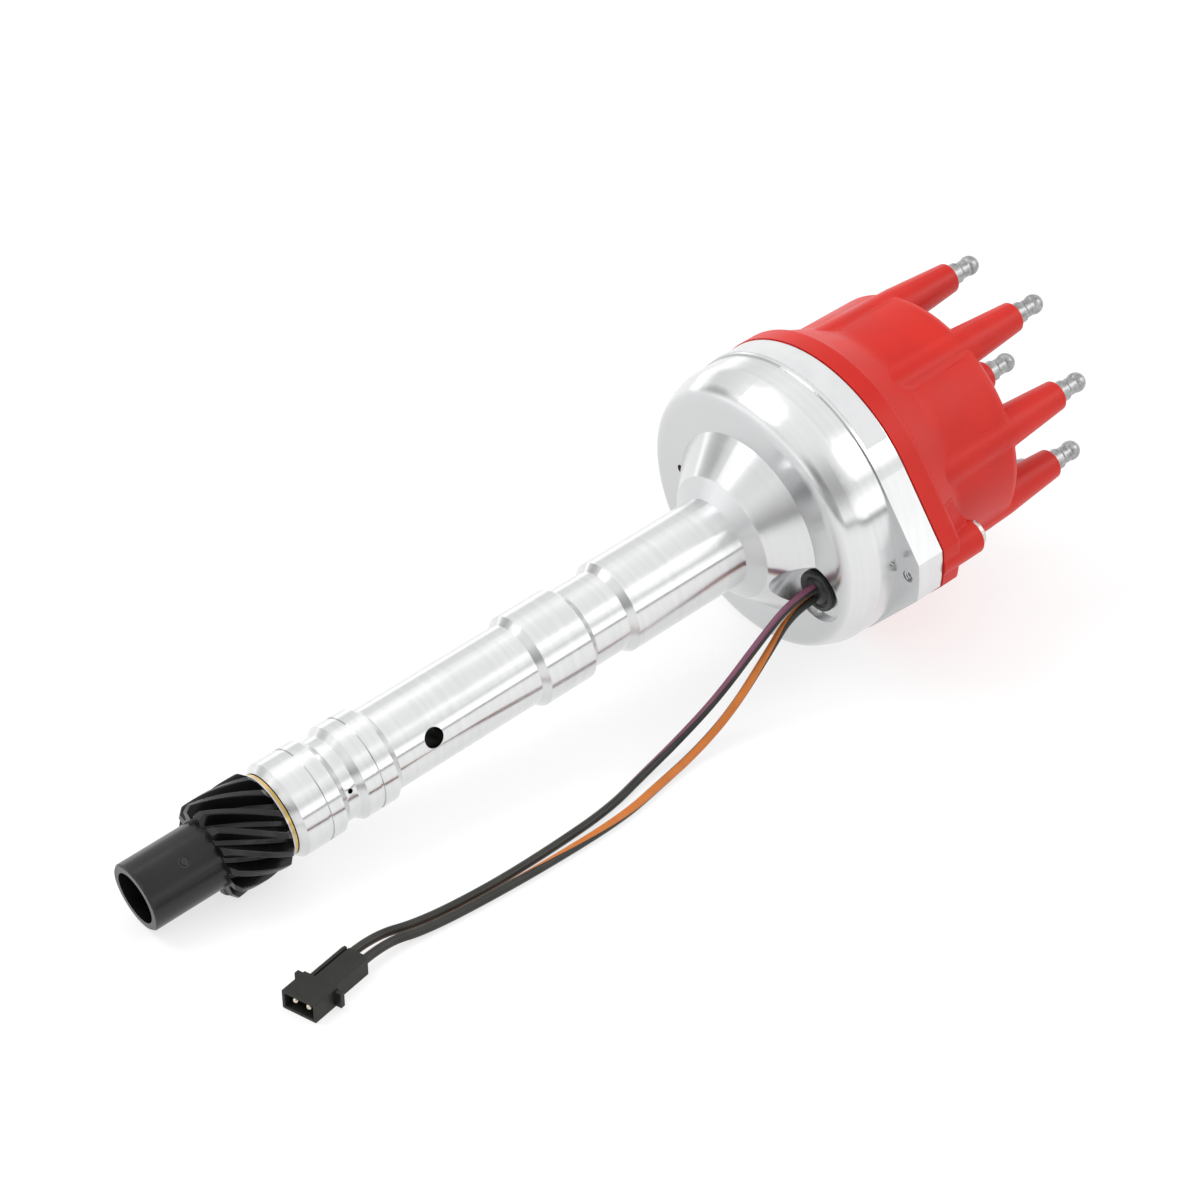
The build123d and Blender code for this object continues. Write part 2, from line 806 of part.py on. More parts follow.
def nose(top_of_tower):
    """Snap terminal above a tower: collar, neck and ball."""
    ball_middle = top_of_tower + nose_length - nose_ball_r
    neck_height = top_of_tower + nose_collar_length + 1.1
    rise = math.sqrt(nose_ball_r**2 - nose_neck_r**2)
    body = turned([
        (0, top_of_tower),
        (nose_collar_r, top_of_tower),
        (nose_collar_r, top_of_tower + nose_collar_length),
        (nose_neck_r, neck_height),
        (nose_neck_r, ball_middle - rise),
        (0, ball_middle - rise),
    ])
    return body + Pos(0, 0, ball_middle) * Sphere(nose_ball_r)


def spark_terminal():
    """Metal insert of an outer tower, from its nose down to the electrode."""
    stem = drum(terminal_stem_r, cap_roof_inside - 0.5, tower_top + 0.5)
    electrode = drum(electrode_r, cap_roof_inside - electrode_length, cap_roof_inside)
    return nose(tower_top) + stem + electrode


def tower_terminals():
    """The eight outer terminals."""
    insert = spark_terminal()
    return Compound(children=[Pos(*place) * insert for place in tower_places()])


def centre_terminal():
    """Coil terminal on the axis, ending above the brush spring."""
    return nose(centre_tower_top) + drum(terminal_stem_r, brush_seat(), centre_tower_top + 0.5)


def carbon_brush():
    """Carbon brush with a hollow top for its spring."""
    body = fillet(rims(drum(brush_r, brush_low, brush_low + brush_length), brush_r, brush_low), 0.8)
    top = brush_low + brush_length
    return body - drum(brush_hole_r, top - brush_hole_depth, top + 1)


def brush_spring():
    """Light spring between the centre terminal and the brush."""
    low = brush_low + brush_length - brush_hole_depth + seat_gap
    high = brush_seat() - seat_gap
    coils = 8
    step = (high - low) / coils
    outline = [(0.8, low)]
    for index in range(coils):
        middle = low + (index + 0.5) * step
        outline += [(1.1, middle - step / 4), (1.4, middle), (1.1, middle + step / 4)]
    outline.append((0.8, high))
    return turned(outline)


def cap_screws():
    """Two slotted screws that hold the cap to the flange ears."""
    screws = []
    for place in ear_places():
        screw = drum(screw_r, flange_bottom + screw_end_short, boss_top + 0.5, place)
        head = drum(screw_head_r, boss_top, boss_top + screw_head_height)
        head = fillet(rims(head, screw_head_r, boss_top + screw_head_height), 1.4)
        slot = Pos(0, 0, boss_top + screw_head_height) * Box(
            3 * screw_head_r, screw_slot_width, 2 * screw_slot_depth
        )
        screws.append(screw + Pos(place[0], place[1]) * (head - slot))
    return Compound(children=screws)


def wire_grommet():
    """Rubber grommet in the lead pocket, with its nose toward the drive end."""
    floor = annulus + lead_pocket_depth
    body = drum(grommet_flange_r, floor - grommet_flange_thickness, floor)
    body = fillet(rims(body, grommet_flange_r, floor - grommet_flange_thickness), 0.7)
    body += drum(lead_hole_r - press_gap, floor - 0.5, bowl_floor + grommet_inner_lip)
    nose_low = floor - grommet_flange_thickness - grommet_nose_length
    body += drum(grommet_nose_r, nose_low, floor - grommet_flange_thickness + 0.2)
    place = polar(lead_pocket_ring_r, lead_angle)
    return Pos(place[0], place[1]) * body


def lying_tilt():
    """Angle of the axis to the bench when gear teeth and bowl shoulder both touch it."""
    turn = math.atan2(bowl_r - shoulder_r, shoulder_height)
    round_height = annulus + shoulder_height + bowl_round * math.tan(turn / 2)
    ahead = round_height - tooth_rest_height
    out = bowl_r - bowl_round - gear_tip_r
    return math.atan2(out, ahead) + math.asin(bowl_round / math.hypot(ahead, out))


def lying_frame():
    """Frame of the distributor's axis above the bench, at the open end of the drive tube."""
    tilt = lying_tilt()
    rise = gear_tip_r * math.cos(tilt) - tooth_rest_height * math.sin(tilt)
    return Plane(
        origin=(0, 0, rise),
        x_dir=(-math.sin(tilt), 0, math.cos(tilt)),
        z_dir=(math.cos(tilt), 0, math.sin(tilt)),
    )


def plug_frame():
    """Frame of the plug: x runs back from its mouth, z is up from the bench."""
    return Pos(plug_front[0], plug_front[1], 0) * Rot(0, 0, plug_turn)


def plug_point(back, side):
    """Point on the plug's mid height, at a distance back from its mouth."""
    turn = math.radians(plug_turn)
    x = plug_front[0] + back * math.cos(turn) - side * math.sin(turn)
    y = plug_front[1] + back * math.sin(turn) + side * math.cos(turn)
    return (x, y, plug_height / 2)


def plug_shell():
    """Two-way plug body: open shroud, latch lugs and a narrower rear with a grooved top."""
    low_corner = (Align.MIN, Align.CENTER, Align.MIN)
    front = Box(plug_front_length, plug_width, plug_height, align=low_corner)
    front = fillet(front.edges().filter_by(Axis.X), plug_edge)
    rear = Box(plug_length, plug_rear_width, plug_height, align=low_corner)
    ridges = [edge for edge in rear.edges().filter_by(Axis.X) if edge.center().Z > plug_height / 2]
    rear = chamfer(ridges, plug_rear_bevel)
    lugs = Box(
        plug_lug_thickness, plug_width + 2 * plug_lug_out, plug_lug_height,
        align=(Align.MAX, Align.CENTER, Align.CENTER),
    )
    shell = front + rear + Pos(plug_front_length, 0, plug_height / 2) * lugs
    mouth = Box(
        plug_mouth_depth, plug_width - 2 * plug_wall, plug_height - 2 * plug_wall,
        align=(Align.MIN, Align.CENTER, Align.CENTER),
    )
    shell -= Pos(0, 0, plug_height / 2) * mouth
    groove = Box(plug_length, plug_groove_width, 2 * plug_groove_depth, align=(Align.MIN, Align.CENTER, Align.CENTER))
    shell -= Pos(plug_front_length, plug_rear_width / 4, plug_height) * groove
    for side in (contact_pitch / 2, -contact_pitch / 2):
        bore = Plane(origin=(plug_mouth_depth - 1, side, plug_height / 2), z_dir=(1, 0, 0))
        shell -= bore.location * extrude(Circle(contact_r + press_gap), 6)
    return plug_frame() * shell


def plug_contacts():
    """Two round contacts with domed tips, one on each lead."""
    contacts = []
    for side in (contact_pitch / 2, -contact_pitch / 2):
        aim = Plane(origin=(contact_short, side, plug_height / 2), z_dir=(1, 0, 0))
        pin = extrude(Circle(contact_r), plug_mouth_depth + 4.0 - contact_short)
        pin = fillet(rims(pin, contact_r, 0), contact_r * 0.8)
        contacts.append(plug_frame() * (aim.location * pin))
    return Compound(children=contacts)


def lead_routes(frame, shift_x):
    """Corner points of both leads, from the grommet's nose over the bench to the plug."""
    nose_height = annulus + lead_pocket_depth - grommet_flange_thickness - grommet_nose_length
    place = polar(lead_pocket_ring_r, lead_angle)
    routes = {}
    middles = {
        "violet_lead": [
            (35.5, -32.2, 27.3), (17.5, -32.8, 13.6), (-1.0, -33.6, 4.4), (-18.0, -37.2, lead_r),
            (-37.0, -44.0, lead_r), (-62.0, -48.2, lead_r), (-90.0, -51.4, lead_r), (-116.0, -51.6, lead_r),
        ],
        "orange_lead": [
            (37.5, -34.0, 22.5), (20.0, -37.0, 9.6), (2.5, -39.6, 2.6), (-16.0, -44.2, lead_r),
            (-36.0, -50.0, lead_r), (-63.5, -53.2, lead_r), (-91.0, -55.1, lead_r), (-117.0, -55.5, lead_r),
        ],
    }
    for name, side in (("violet_lead", 1), ("orange_lead", -1)):
        exit_x = place[0] + side * lead_spread / 2
        start = frame.from_local_coords(Vector(exit_x, place[1], nose_height))
        turn = frame.from_local_coords(Vector(exit_x, place[1], nose_height - lead_straight))
        points = [Vector(start.X - shift_x, start.Y, start.Z), Vector(turn.X - shift_x, turn.Y, turn.Z)]
        points += [Vector(*point) for point in middles[name]]
        plug_side = side * contact_pitch / 2
        points.append(Vector(*plug_point(plug_length + lead_plug_run, plug_side)))
        points.append(Vector(*plug_point(plug_length, plug_side)))
        routes[name] = points
    return routes


def lead(name, points):
    """Round lead along straight runs joined by the widest arcs that fit."""
    radii = []
    for before, corner, after in zip(points, points[1:], points[2:]):
        first = corner - before
        second = after - corner
        half_turn = math.radians(first.get_angle(second)) / 2
        radii.append(0.45 * min(first.length, second.length) / math.tan(half_turn))
    path = FilletPolyline(*points, radius=radii)
    solid = sweep(Plane(origin=path @ 0, z_dir=path % 0) * Circle(lead_r), path)
    expected = math.pi * lead_r**2 * path.length
    print(name, "length", round(path.length, 1), "radii", [round(radius) for radius in radii])
    print(name, "volume", round(solid.volume, 1), "section times length", round(expected, 1))
    return solid


def axis_nodes():
    """Every piece that is drawn on the distributor's axis."""
    outer_race, inner_race = bearing_races()
    return {
        "housing": housing(),
        "lower_bushing": lower_bushing(),
        "bearing_outer_race": outer_race,
        "bearing_inner_race": inner_race,
        "bearing_cage": bearing_cage(),
        "main_shaft": main_shaft(),
        "drive_gear": drive_gear(),
        "roll_pin": roll_pin(),
        "thrust_shim": thrust_shim(),
        "thrust_washer": thrust_washer(),
        "pickup_plate": pickup_plate(),
        "pickup_coil": pickup_coil(),
        "pickup_pole": pickup_pole(),
        "pickup_screws": pickup_screws(),
        "pole_sleeve": pole_sleeve(),
        "reluctor": reluctor(),
        "advance_base": advance_base(),
        "weight_pins": weight_pins(),
        "advance_weight_1": advance_weight(0),
        "advance_weight_2": advance_weight(1),
        "centre_cam": centre_cam(),
        "advance_springs": advance_springs(),
        "rotor": rotor(),
        "rotor_strip": rotor_strip(),
        "rotor_screws": rotor_screws(),
        "cap": cap(),
        "tower_terminals": tower_terminals(),
        "centre_terminal": centre_terminal(),
        "carbon_brush": carbon_brush(),
        "brush_spring": brush_spring(),
        "cap_screws": cap_screws(),
        "wire_grommet": wire_grommet(),
    }


def write_parts():
    """Lay the distributor on the bench, add leads and plug, and write one file for each piece."""
    frame = lying_frame()
    laid = {name: frame.location * solid for name, solid in axis_nodes().items()}
    box = Compound(children=[Compound(solid.solids()) for solid in laid.values()]).bounding_box()
    shift_x = box.center().X
    print("tilt", round(math.degrees(lying_tilt()), 3), "middle", round(shift_x, 3), "low", round(box.min.Z, 4))
    nodes = {name: Pos(-shift_x, 0, 0) * solid for name, solid in laid.items()}
    for name, points in lead_routes(frame, shift_x).items():
        nodes[name] = lead(name, points)
    nodes["plug_shell"] = plug_shell()
    nodes["plug_contacts"] = plug_contacts()
    os.makedirs("parts", exist_ok=True)
    for name, solid in nodes.items():
        export_step(solid, "parts/" + name + ".step")


write_parts()
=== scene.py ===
import json
import math

import bmesh
import bpy
from mathutils import Matrix, Vector


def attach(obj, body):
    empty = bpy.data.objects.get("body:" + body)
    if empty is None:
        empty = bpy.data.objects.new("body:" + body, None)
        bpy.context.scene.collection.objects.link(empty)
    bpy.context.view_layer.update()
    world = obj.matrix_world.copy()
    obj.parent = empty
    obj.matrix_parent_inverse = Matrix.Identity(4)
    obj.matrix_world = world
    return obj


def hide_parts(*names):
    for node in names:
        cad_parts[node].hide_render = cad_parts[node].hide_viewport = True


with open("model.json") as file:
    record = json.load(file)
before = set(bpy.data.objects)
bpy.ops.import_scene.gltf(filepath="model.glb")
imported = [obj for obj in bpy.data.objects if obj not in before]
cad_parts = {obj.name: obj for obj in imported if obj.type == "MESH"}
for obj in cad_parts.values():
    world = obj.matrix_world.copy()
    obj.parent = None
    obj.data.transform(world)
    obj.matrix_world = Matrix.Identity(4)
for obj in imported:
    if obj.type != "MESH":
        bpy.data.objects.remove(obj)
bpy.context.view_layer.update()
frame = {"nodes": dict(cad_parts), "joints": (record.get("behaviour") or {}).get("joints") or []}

nodes = frame["nodes"]

# Drive gear with its drive tube: carburised steel, black from its oil quench.
# Turned and hobbed in one piece, then cross drilled for the roll pin.
# The main shaft runs up from it through the housing; its steel is painted dark, as painted shade where it
# shows through the housing's holes.
spin = next(joint for joint in frame["joints"] if joint["name"] == "shaft_spin")
tube_end = Vector(spin["pos_m"])
axis = Vector(spin["axis"]).normalized()
side = Vector((0, -1, 0))
lying_up = side.cross(axis)
on_axis = Matrix.Translation(tube_end) @ Matrix((lying_up, side, axis)).transposed().to_4x4()


def add_node(tree, kind, inputs=None, **settings):
    """One shader node, with its settings and the values or links of its inputs."""
    made = tree.nodes.new(kind)
    for name, value in settings.items():
        setattr(made, name, value)
    for name, value in (inputs or {}).items():
        if isinstance(value, bpy.types.NodeSocket):
            tree.links.new(value, made.inputs[name])
        else:
            made.inputs[name].default_value = value
    return made


def ramp(tree, value, low, high, start=0.35, end=0.65):
    """Colour ramp between two colours, over the middle of a noise value's range."""
    made = add_node(tree, "ShaderNodeValToRGB", {"Fac": value})
    for element, position, colour in zip(made.color_ramp.elements, (start, end), (low, high)):
        element.position = position
        element.color = (*colour, 1)
    return made.outputs["Color"]


def grain_group():
    """Cloudy variation and a fine grain, from the object's own coordinates."""
    group = bpy.data.node_groups.new("surface grain", "ShaderNodeTree")
    for name, way in (("Cloud size", "INPUT"), ("Grain size", "INPUT"),
                      ("Clouds", "OUTPUT"), ("Grain", "OUTPUT")):
        group.interface.new_socket(name, in_out=way, socket_type="NodeSocketFloat")
    given = group.nodes.new("NodeGroupInput")
    place = add_node(group, "ShaderNodeTexCoord").outputs["Object"]
    clouds = add_node(group, "ShaderNodeTexNoise", {
        "Vector": place, "Scale": given.outputs["Cloud size"], "Detail": 4.0})
    grain = add_node(group, "ShaderNodeTexNoise", {
        "Vector": place, "Scale": given.outputs["Grain size"], "Detail": 2.0})
    out = group.nodes.new("NodeGroupOutput")
    group.links.new(clouds.outputs["Fac"], out.inputs["Clouds"])
    group.links.new(grain.outputs["Fac"], out.inputs["Grain"])
    return group


grain = grain_group()


def finish_of(name, dark, light, smooth, rough, metal, cloud_size=60.0, grain_size=2500.0,
              bump=0.15, depth=0.00002):
    """Material with clouds in its colour and roughness and a fine grain in its surface."""
    material = bpy.data.materials.new(name)
    material.use_nodes = True
    tree = material.node_tree
    shader = tree.nodes["Principled BSDF"]
    worn = add_node(tree, "ShaderNodeGroup", node_tree=grain)
    worn.inputs["Cloud size"].default_value = cloud_size
    worn.inputs["Grain size"].default_value = grain_size
    tree.links.new(ramp(tree, worn.outputs["Clouds"], dark, light), shader.inputs["Base Color"])
    gloss = ramp(tree, worn.outputs["Clouds"], (smooth,) * 3, (rough,) * 3)
    tree.links.new(gloss, shader.inputs["Roughness"])
    raised = add_node(tree, "ShaderNodeBump", {
        "Height": worn.outputs["Grain"], "Strength": bump, "Distance": depth})
    tree.links.new(raised.outputs["Normal"], shader.inputs["Normal"])
    shader.inputs["Metallic"].default_value = metal
    return material


def wear(finish, *node_names):
    """Give CAD nodes their finish."""
    for node_name in node_names:
        mesh = nodes[node_name].data
        mesh.materials.clear()
        mesh.materials.append(finish)


# Painted shade: the shaft steel is given a dark colour for the shade inside the housing.
shaded_shaft_steel = finish_of("shaft steel with painted shade", dark=(0.10, 0.10, 0.10), light=(0.17, 0.17, 0.165),
                        smooth=0.3, rough=0.45, metal=1.0, bump=0.1)
black_steel = finish_of("black quenched steel", dark=(0.003, 0.003, 0.003), light=(0.006, 0.006, 0.0065),
                        smooth=0.24, rough=0.32, metal=0.0, bump=0.2)
black_steel.node_tree.nodes["Principled BSDF"].inputs["Specular IOR Level"].default_value = 0.42
wear(black_steel, "drive_gear")
wear(shaded_shaft_steel, "main_shaft")

# Roll pin: spring steel, rolled to a slotted tube and driven flush with the drive tube.
# Its end shows only as a faint ring.
pin_steel = finish_of("blued spring steel", dark=(0.012, 0.012, 0.013), light=(0.02, 0.02, 0.021),
                      smooth=0.3, rough=0.4, metal=0.1, bump=0.2)
wear(pin_steel, "roll_pin")

# Thrust shim and washer: a ground steel shim on the gear, and a brass washer under the toe.
# Both are stamped rings that turn with the shaft.
shim_steel = finish_of("ground steel", dark=(0.50, 0.50, 0.51), light=(0.62, 0.62, 0.63),
                       smooth=0.2, rough=0.34, metal=1.0, bump=0.2)
washer_brass = finish_of("turned brass", dark=(0.52, 0.36, 0.12), light=(0.70, 0.52, 0.22),
                         smooth=0.22, rough=0.38, metal=1.0, bump=0.25)
wear(shim_steel, "thrust_shim")
wear(washer_brass, "thrust_washer")

# Lower bushing and ball bearing: sintered bronze in the toe, and ground steel races with
# caged balls at the top of the stem. Both are pressed into the housing and carry the shaft.
bushing_bronze = finish_of("sintered bronze", dark=(0.30, 0.19, 0.09), light=(0.42, 0.28, 0.14),
                           smooth=0.4, rough=0.6, metal=1.0, grain_size=6000.0)
wear(bushing_bronze, "lower_bushing")
wear(shim_steel, "bearing_outer_race", "bearing_inner_race", "bearing_cage")

# Housing: one aluminium billet, turned all over and left bright.
# The tool leaves fine rings, which draw each highlight out along the stem or into a fan.
# Its faces square to the axis are painted darker, as painted shade, and its bores are painted dark, as
# painted shade in the holes.
bored_r = 0.0139


def lathe_group():
    """Rings round the turning axis: fine ones, wide bands, and the distance from the axis."""
    group = bpy.data.node_groups.new("lathe rings", "ShaderNodeTree")
    for name, way in (("Fine rings", "INPUT"), ("Wide rings", "INPUT"),
                      ("Fine", "OUTPUT"), ("Wide", "OUTPUT"), ("Radius", "OUTPUT")):
        group.interface.new_socket(name, in_out=way, socket_type="NodeSocketFloat")
    given = group.nodes.new("NodeGroupInput")
    place = add_node(group, "ShaderNodeTexCoord").outputs["Object"]
    from_end = add_node(group, "ShaderNodeVectorMath", {0: place, 1: tube_end}, operation="SUBTRACT")
    offset = from_end.outputs["Vector"]
    along = add_node(group, "ShaderNodeVectorMath", {0: offset, 1: axis}, operation="DOT_PRODUCT")
    across = add_node(group, "ShaderNodeVectorMath", {0: offset, 1: axis}, operation="CROSS_PRODUCT")
    radius = add_node(group, "ShaderNodeVectorMath", {0: across.outputs["Vector"]}, operation="LENGTH")
    reach = add_node(group, "ShaderNodeMath", {0: along.outputs["Value"], 1: radius.outputs["Value"]},
                     operation="ADD")
    fine = add_node(group, "ShaderNodeTexNoise", {
        "W": reach.outputs["Value"], "Scale": given.outputs["Fine rings"], "Detail": 3.0},
        noise_dimensions="1D")
    wide = add_node(group, "ShaderNodeTexNoise", {
        "W": reach.outputs["Value"], "Scale": given.outputs["Wide rings"], "Detail": 4.0},
        noise_dimensions="1D")
    out = group.nodes.new("NodeGroupOutput")
    group.links.new(fine.outputs["Fac"], out.inputs["Fine"])
    group.links.new(wide.outputs["Fac"], out.inputs["Wide"])
    group.links.new(radius.outputs["Value"], out.inputs["Radius"])
    return group


def turned_aluminium():
    """Bright turned metal, with painted shade: darker on faces square to the axis, and dark in the bores."""
    material = bpy.data.materials.new("turned aluminium")
    material.use_nodes = True
    tree = material.node_tree
    shader = tree.nodes["Principled BSDF"]
    rings = add_node(tree, "ShaderNodeGroup", node_tree=lathe_group())
    rings.inputs["Fine rings"].default_value = 4200.0
    rings.inputs["Wide rings"].default_value = 420.0
    clouds = add_node(tree, "ShaderNodeGroup", node_tree=grain)
    clouds.inputs["Cloud size"].default_value = 90.0
    clouds.inputs["Grain size"].default_value = 1800.0

    tone = add_node(tree, "ShaderNodeMath", {
        0: rings.outputs["Wide"], 1: clouds.outputs["Clouds"], 2: 0.25}, operation="MULTIPLY_ADD")
    turned = ramp(tree, tone.outputs["Value"], low=(0.70, 0.705, 0.71), high=(0.75, 0.753, 0.757))
    # Painted shade: faces square to the turning axis get a darker colour.
    surface = add_node(tree, "ShaderNodeNewGeometry").outputs["Normal"]
    squareness = add_node(tree, "ShaderNodeVectorMath", {0: surface, 1: axis}, operation="DOT_PRODUCT")
    across_axis = add_node(tree, "ShaderNodeMath", {0: squareness.outputs["Value"]}, operation="ABSOLUTE")
    face_shade = add_node(tree, "ShaderNodeMapRange", {
        "Value": across_axis.outputs["Value"], "From Min": 0.5, "From Max": 0.97},
        interpolation_type="SMOOTHSTEP")
    face_shaded = add_node(tree, "ShaderNodeMix", {"Factor": face_shade.outputs["Result"], "A": turned}, data_type="RGBA")
    face_shaded.inputs["B"].default_value = (0.60, 0.605, 0.61, 1)
    # Painted shade: inside the bore radius the metal is painted dark, as the shade in the holes.
    bore_shade = add_node(tree, "ShaderNodeMath", {0: rings.outputs["Radius"], 1: bored_r}, operation="LESS_THAN")
    bore_shaded = add_node(tree, "ShaderNodeMix", {
        "Factor": bore_shade.outputs["Value"], "A": face_shaded.outputs["Result"]}, data_type="RGBA")
    bore_shaded.inputs["B"].default_value = (0.11, 0.11, 0.105, 1)
    tree.links.new(bore_shaded.outputs["Result"], shader.inputs["Base Color"])
    gloss = ramp(tree, clouds.outputs["Clouds"], low=(0.21,) * 3, high=(0.235,) * 3)
    tree.links.new(gloss, shader.inputs["Roughness"])

    raised = add_node(tree, "ShaderNodeBump", {
        "Height": rings.outputs["Fine"], "Strength": 0.05, "Distance": 0.000004})
    pitted = add_node(tree, "ShaderNodeBump", {
        "Height": clouds.outputs["Grain"], "Strength": 0.06, "Distance": 0.00001,
        "Normal": raised.outputs["Normal"]})
    tree.links.new(pitted.outputs["Normal"], shader.inputs["Normal"])

    place = add_node(tree, "ShaderNodeTexCoord").outputs["Object"]
    from_end = add_node(tree, "ShaderNodeVectorMath", {0: place, 1: tube_end}, operation="SUBTRACT")
    around = add_node(tree, "ShaderNodeVectorMath", {0: axis, 1: from_end.outputs["Vector"]},
                      operation="CROSS_PRODUCT")
    way_round = add_node(tree, "ShaderNodeVectorMath", {0: around.outputs["Vector"]}, operation="NORMALIZE")
    tree.links.new(way_round.outputs["Vector"], shader.inputs["Tangent"])
    shader.inputs["Anisotropic"].default_value = 0.88
    shader.inputs["Anisotropic Rotation"].default_value = 0.25
    shader.inputs["Metallic"].default_value = 1.0
    return material


wear(turned_aluminium(), "housing")

# Screw threads in the underside of each ear: tapped holes in the flange,
# seen as two bright turns below the end of the cap screw.
ear_angle = 97.0
ear_turns = (0, 180)
screw_ring = 0.0546
hole_r = 0.0021
flange_bottom = 0.2625
thread_pitch = 0.0008
thread_depth = 0.00032
thread_turns = 2
steps_a_turn = 24
for turn in ear_turns:
    mesh = bmesh.new()
    ridge = [mesh.verts.new(place) for place in (
        (hole_r, 0, 0), (hole_r - thread_depth, 0, thread_pitch * 0.4), (hole_r, 0, thread_pitch * 0.8))]
    edges = [mesh.edges.new(pair) for pair in zip(ridge, ridge[1:])]
    bmesh.ops.spin(mesh, geom=ridge + edges, cent=(0, 0, 0), axis=(0, 0, 1),
                   angle=math.radians(360 * thread_turns), dvec=(0, 0, thread_pitch / steps_a_turn),
                   steps=steps_a_turn * thread_turns)
    angle = math.radians(ear_angle + turn)
    place = (screw_ring * math.cos(angle), screw_ring * math.sin(angle), flange_bottom)
    bmesh.ops.transform(mesh, verts=mesh.verts, matrix=on_axis @ Matrix.Translation(place))
    data = bpy.data.meshes.new("ear_thread")
    mesh.to_mesh(data)
    mesh.free()
    thread = bpy.data.objects.new("ear_thread_%d" % (1 + turn // 180), data)
    bpy.context.collection.objects.link(thread)
    data.materials.append(shim_steel)
    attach(thread, "body")

# Blank identification strip: thin satin polyester foil,
# stuck to the flange rim over the top of the housing.
strip_start = -63.0
strip_end = 47.0
strip_low = 0.2638
strip_high = 0.2728
strip_steps = 64
rim_r = 0.0516
foil = 0.00006
mesh = bmesh.new()
corners = [mesh.verts.new((radius, 0, height)) for radius, height in (
    (rim_r, strip_low), (rim_r + foil, strip_low), (rim_r + foil, strip_high), (rim_r, strip_high))]
section = mesh.faces.new(corners)
bmesh.ops.rotate(mesh, verts=mesh.verts, cent=(0, 0, 0),
                 matrix=Matrix.Rotation(math.radians(strip_start), 3, "Z"))
bmesh.ops.spin(mesh, geom=[section] + list(section.verts) + list(section.edges), cent=(0, 0, 0),
               axis=(0, 0, 1), angle=math.radians(strip_end - strip_start), steps=strip_steps)
bmesh.ops.transform(mesh, verts=mesh.verts, matrix=on_axis)
bmesh.ops.recalc_face_normals(mesh, faces=mesh.faces)
data = bpy.data.meshes.new("label_strip")
mesh.to_mesh(data)
mesh.free()
label = bpy.data.objects.new("label_strip", data)
bpy.context.collection.objects.link(label)
label_foil = finish_of("satin foil", dark=(0.60, 0.605, 0.61), light=(0.64, 0.645, 0.65),
                       smooth=0.45, rough=0.52, metal=0.2, cloud_size=140.0, bump=0.08)
data.materials.append(label_foil)
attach(label, "body")

# Grommet: moulded rubber, pushed into the hole of the lead pocket from outside.
# Its nose grips both leads.
pocket_ring = 0.0342
pocket_angle = math.radians(112.5)
pocket_floor = 0.2439
pocket_place = (pocket_ring * math.cos(pocket_angle), pocket_ring * math.sin(pocket_angle), pocket_floor)
grommet_steps = 64
merge_distance = 0.000001
mesh = bmesh.new()
profile = [mesh.verts.new((radius, 0, height)) for radius, height in (
    (0.0064, 0.0006), (0.0064, 0), (0.0071, 0), (0.0075, -0.0007), (0.0073, -0.0015), (0.0065, -0.0019),
    (0.0057, -0.0015), (0.0053, -0.0007), (0.0049, -0.0008), (0.0046, -0.0017), (0.0040, -0.0022),
    (0.0015, -0.0023))]
edges = [mesh.edges.new(pair) for pair in zip(profile, profile[1:])]
bmesh.ops.spin(mesh, geom=profile + edges, cent=(0, 0, 0), axis=(0, 0, 1), angle=math.radians(360),
               steps=grommet_steps, use_merge=True)
bmesh.ops.remove_doubles(mesh, verts=mesh.verts, dist=merge_distance)
bmesh.ops.holes_fill(mesh, edges=mesh.edges, sides=grommet_steps)
bmesh.ops.recalc_face_normals(mesh, faces=mesh.faces)
bmesh.ops.transform(mesh, verts=mesh.verts, matrix=on_axis @ Matrix.Translation(pocket_place))
for face in mesh.faces:
    face.smooth = True
data = bpy.data.meshes.new("grommet_rubber")
mesh.to_mesh(data)
mesh.free()
grommet = bpy.data.objects.new("grommet_rubber", data)
bpy.context.collection.objects.link(grommet)
rubber = finish_of("moulded rubber", dark=(0.006, 0.006, 0.006), light=(0.012, 0.012, 0.011),
                   smooth=0.3, rough=0.45, metal=0.0, bump=0.3)
data.materials.append(rubber)
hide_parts("wire_grommet")
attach(grommet, "body")

# Pickup and trigger wheel: potted coil in black plastic, screwed onto a stamped aluminium plate.
# Its steel pole faces the ground steel wheel, which turns with its sleeve.
plate_aluminium = finish_of("stamped aluminium", dark=(0.66, 0.67, 0.68), light=(0.78, 0.79, 0.80),
                            smooth=0.35, rough=0.5, metal=1.0)
coil_plastic = finish_of("potted plastic", dark=(0.014, 0.014, 0.014), light=(0.026, 0.026, 0.025),
                         smooth=0.35, rough=0.55, metal=0.0)
zinc_plate = finish_of("zinc plate", dark=(0.55, 0.55, 0.52), light=(0.70, 0.70, 0.68),
                       smooth=0.25, rough=0.4, metal=1.0, cloud_size=200.0)
wear(plate_aluminium, "pickup_plate")
wear(coil_plastic, "pickup_coil")
wear(zinc_plate, "pickup_screws")
wear(shim_steel, "pickup_pole", "pole_sleeve", "reluctor")

# Advance mechanism: stamped and zinc plated steel weights, cam, base plate and springs
# on top of the shaft. The weights swing on ground steel pins.
wear(zinc_plate, "advance_base", "advance_weight_1", "advance_weight_2", "centre_cam", "advance_springs")
wear(shim_steel, "weight_pins")

